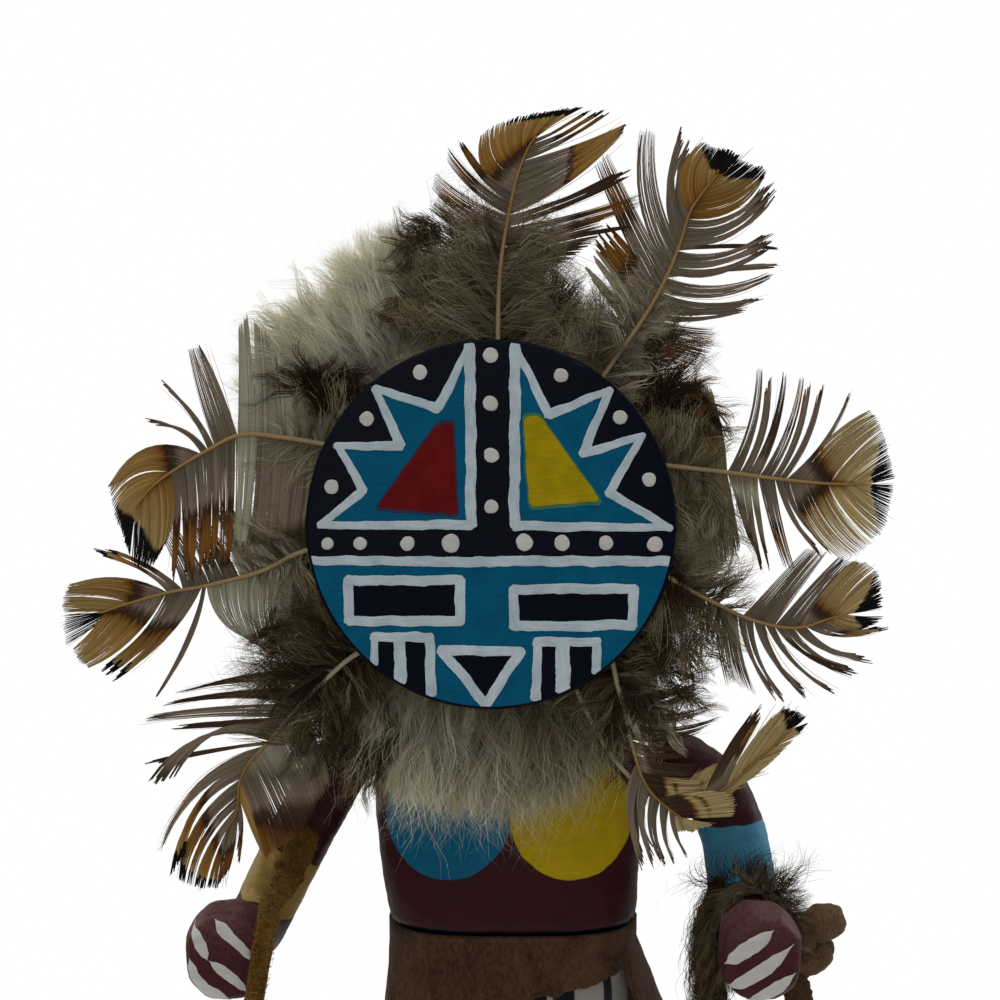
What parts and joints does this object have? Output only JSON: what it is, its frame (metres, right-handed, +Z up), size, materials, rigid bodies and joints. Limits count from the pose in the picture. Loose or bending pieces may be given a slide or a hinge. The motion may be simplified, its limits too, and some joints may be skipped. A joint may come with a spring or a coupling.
{
  "type": "kachina doll",
  "caption": "Carved wooden kachina doll with a round painted sun face, a fur ruff, pheasant feathers and suede dress, standing on a round wooden base.",
  "frame": {"origin": "middle of the base's flat underside", "axes": "+Z up the figure; the figure faces -Y; +X is the figure's own left, which is the viewer's right"},
  "size_m": [0.1619, 0.0938, 0.2822],
  "materials": {
    "base_wood": "turned wood with a thin satin stain",
    "painted_body": "carved wood under hand-brushed maroon paint",
    "painted_face": "carved wood under hand-brushed turquoise, black, white, red and yellow paint",
    "kilt_cloth": "white cotton cloth with painted black stripes",
    "brown_suede": "napped brown suede",
    "tan_suede": "rough tan suede",
    "fur": "rabbit fur, cream, grey and brown",
    "feather": "pheasant feathers, grey, tan and black"
  },
  "bodies": {
    "root": {"base": "base_wood", "body": "painted_body", "left_arm": "painted_body", "right_arm": "painted_body", "kilt": "kilt_cloth", "suede_wrap": "brown_suede", "arm_thong": "tan_suede", "fur_cuff": "fur", "cuff_tie": "brown_suede", "sun_face": "painted_face", "fur_ruff": "fur", "feather_1": "feather", "feather_2": "feather", "feather_3": "feather", "feather_4": "feather", "feather_5": "feather", "feather_6": "feather", "feather_7": "feather", "feather_8": "feather", "feather_9": "feather"}
  },
  "joints": []
}
